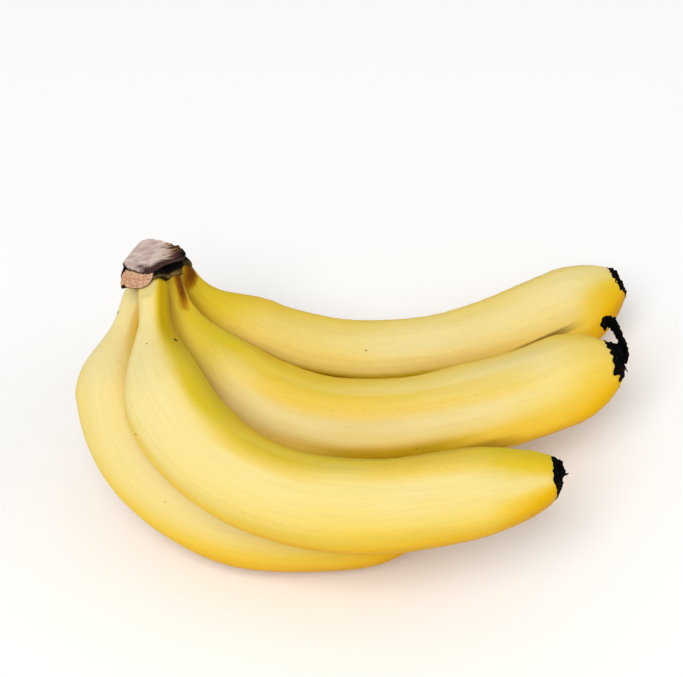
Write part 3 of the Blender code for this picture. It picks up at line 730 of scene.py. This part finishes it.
def end_frame(b):
    """Axes at the flower end: along the tip, towards the hollow side and up from the curve's plane."""
    path, angle = centre_line(b, np.array([b["length"]]))
    a = float(angle[0])
    bend = np.array([[math.cos(a), -math.sin(a), 0.0], [math.sin(a), math.cos(a), 0.0], [0.0, 0.0, 1.0]])
    turn = finger_frame(b)
    return turn @ bend, turn @ np.array([path[0, 0], path[0, 1], 0.0]) + np.array(b["root"])


def crust_rings(name, b, seed):
    """A crust over the flat end. Rings run from its torn hem up the outside of the tip, over the edge and in
    to the middle. Hem and height are read off the lists by how far a point lies towards the hollow side, and
    ripples tear both."""
    around = np.linspace(0.0, 2.0 * math.pi, CAP_SIDES, endpoint=False)
    places = np.linspace(-CAP_REACH, CAP_REACH, 8)
    edge = np.stack([np.cos(around), np.sin(around), 0.0 * around], axis=1) * CAP_REACH
    hem = 0.5 + np.interp(edge[:, 0], places, DRAPES[name]) * smooth(1.2 * np.sin(around) + 0.4)
    hem = hem * (1.0 + 0.30 * ripples(edge, 5.0, seed) + 0.22 * ripples(edge, 1.6, seed + 1))
    v = np.linspace(1.0, 0.0, 14)[:, None]
    along = -np.maximum(hem, 0.3) * v
    reach = b["length"] + along
    r = girth(b, reach) + swelling(name, reach, around[None, :]) + 0.55 - 0.60 * v ** 5
    skirt = np.stack([along, r * np.cos(around), r * np.sin(around)], axis=-1)
    share = np.linspace(1.0, 0.03, 54)[1:, None]
    flat = skirt[-1][None, :, 1:] * share[..., None]
    rise = np.interp(flat[..., 0], places, CRUSTS[name]) * (1.0 - share ** 7) ** 0.5
    top = np.concatenate([rise[..., None], flat], axis=-1)
    rings = np.concatenate([skirt, top])
    torn = np.concatenate([0.0 * v, smooth((1.0 - share) / 0.12)])
    rings[..., 0] += torn * (0.40 * ripples(rings * (0.3, 1.0, 1.0), 3.0, seed + 2)
                             + 0.26 * ripples(rings * (0.3, 1.0, 1.0), 1.3, seed + 3))
    rings[..., 1:] *= 1.0 + (0.03 + 0.03 * torn)[..., None] * ripples(rings, 1.6, seed + 4)[..., None]
    rings[..., 0] += END_TILTS[name] * (0.5 + rings[..., 1] / (2.0 * CAP_REACH))
    return rings


def strand(path, radii, sides=20, rows=90, seed=80):
    """A tube along the Bezier curve that the path's points pull, with its radius read off the given list and
    creased by ripples."""
    t = np.linspace(0.0, 1.0, rows)
    degree = len(path) - 1
    curve = sum((math.comb(degree, i) * t ** i * (1.0 - t) ** (degree - i))[:, None] * np.array(point)
                for i, point in enumerate(path))
    along = np.gradient(curve, axis=0)
    along /= np.linalg.norm(along, axis=1)[:, None]
    side = np.cross(along, np.array([0.13, 0.21, 0.97]))
    side /= np.linalg.norm(side, axis=1)[:, None]
    top = np.cross(along, side)
    r = np.interp(t, np.linspace(0.0, 1.0, len(radii)), radii)
    around = np.linspace(0.0, 2.0 * math.pi, sides, endpoint=False)
    ring = np.cos(around)[None, :, None] * side[:, None, :] + np.sin(around)[None, :, None] * top[:, None, :]
    points = curve[:, None, :] + r[:, None, None] * ring
    return points + ring * (r[:, None] * 0.22 * ripples(points, 1.6, seed))[..., None]


# Dried banana flower: petals and style shrivelled to a crust, matt and brittle. To the eye it is nearly
# black, and brown where it is thin. The sizes of its folds and flakes are in mm.
FOLD_SIZE, FLAKE_SIZE = 5.556, 1.4286
flower, tree, shader, _ = new_material("dried_banana_flower")
place = put(tree, kind="ShaderNodeTexCoord", out="Object")
flakes = put(tree, place, 1.0 / (FLAKE_SIZE * MM), 6.0, 0.7, **NOISE)
folds = put(tree, place, 1.0 / (FOLD_SIZE * MM), 3.0, **NOISE)
colour = put(tree, put(tree, folds, 0.55, 0.75, **EASE), linear("#040303"), linear("#120B08"), **MIX)
colour = put(tree, put(tree, flakes, 0.6, 0.74, **EASE), colour, linear("#54382A"), **MIX)
relief = put(tree, put(tree, flakes, folds, **ADD), 0.8, 0.0006, **RELIEF)
tree.links.new(colour, shader.inputs["Base Color"])
tree.links.new(put(tree, folds, 0.3, 0.7, 0.6, 0.9, **EASE), shader.inputs["Roughness"])
tree.links.new(relief, shader.inputs["Normal"])
shader.inputs["Specular IOR Level"].default_value = 0.03

for number, (name, b) in enumerate(BANANAS.items()):
    turn, origin = end_frame(b)
    pieces = [closed_skin("flower_" + name, crust_rings(name, b, 10 * number + 50) @ turn.T + origin, {})]
    if name == "middle":
        pieces.append(closed_skin("flower_style", strand(STYLE_PATH, STYLE_RADII) @ turn.T + origin, {}))
    for count, (owner, *path) in enumerate(SHREDS):
        if owner == name:
            shred = strand(path, SHRED_RADII, 10, 24, 90 + count)
            pieces.append(closed_skin(f"petal_shred_{count + 1}", shred @ turn.T + origin, {}))
    for piece in pieces:
        piece.data.materials.append(flower)
        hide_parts("blossom_tip_" + name)
        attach(piece, "root")

# The floor, the light and the camera
# A plain pale floor under the bunch, one broad soft lamp from the front left with a weaker one from the
# right, and the camera at the photograph's angle: 47 degrees down, leaning 4.6 degrees, 0.7 metres away.
FLOOR_REACH = 6.0
CAMERA_AWAY = 0.7
floor_corners = [(x * FLOOR_REACH, y * FLOOR_REACH, 0.0) for x, y in ((-1, -1), (1, -1), (1, 1), (-1, 1))]
floor_mesh = bpy.data.meshes.new("floor")
floor_mesh.from_pydata(floor_corners, [], [(0, 1, 2, 3)])
floor = bpy.data.objects.new("floor", floor_mesh)
bpy.context.scene.collection.objects.link(floor)
# Studio paper: smooth, uncoated and white, so it takes only soft shadows.
paper, _, shader, _ = new_material("white_paper")
shader.inputs["Base Color"].default_value = linear("#FBFBFA")
shader.inputs["Roughness"].default_value = 0.9
floor_mesh.materials.append(paper)


def softbox(name, place, aim, size, watts):
    """A square area lamp at a place, turned to face the aim."""
    lamp = bpy.data.lights.new(name, "AREA")
    lamp.shape = "SQUARE"
    lamp.size = size
    lamp.energy = watts
    made = bpy.data.objects.new(name, lamp)
    made.location = place
    made.rotation_euler = (Vector(aim) - Vector(place)).to_track_quat("-Z", "Y").to_euler()
    bpy.context.scene.collection.objects.link(made)


# The watts and the sky's strength are those that give the peel and the paper the photograph's brightness.
LIGHT_AIM = (0.0, 0.0, 0.03)
softbox("key_light", (-0.60, -1.50, 2.52), LIGHT_AIM, 1.8, 53.5)
softbox("fill_light", (2.38, -0.59, 1.67), LIGHT_AIM, 1.8, 10.0)
world = bpy.data.worlds.new("studio")
world.use_nodes = True
world.node_tree.nodes["Background"].inputs["Color"].default_value = (1.0, 1.0, 1.0, 1.0)
world.node_tree.nodes["Background"].inputs["Strength"].default_value = 0.54
bpy.context.scene.world = world
bpy.context.scene.view_settings.view_transform = "Standard"

# The aim, the angles and the lens come from a least squares fit to outline points of the photograph.
CAMERA_AIM = Vector((-0.00788, 0.04384, 0.030))
CAMERA_DROP, CAMERA_LEAN = math.radians(46.84), math.radians(-4.59)
lens = bpy.data.cameras.new("camera")
lens.sensor_width = 36.0
lens.lens = 92.67
lens.clip_start = 0.05
camera = bpy.data.objects.new("camera", lens)
turn = Matrix.Rotation(math.pi / 2.0 - CAMERA_DROP, 4, "X") @ Matrix.Rotation(CAMERA_LEAN, 4, "Z")
sight = Vector((0.0, math.cos(CAMERA_DROP), -math.sin(CAMERA_DROP)))
camera.matrix_world = Matrix.Translation(CAMERA_AIM - CAMERA_AWAY * sight) @ turn
bpy.context.scene.collection.objects.link(camera)
bpy.context.scene.camera = camera

bpy.context.view_layer.update()
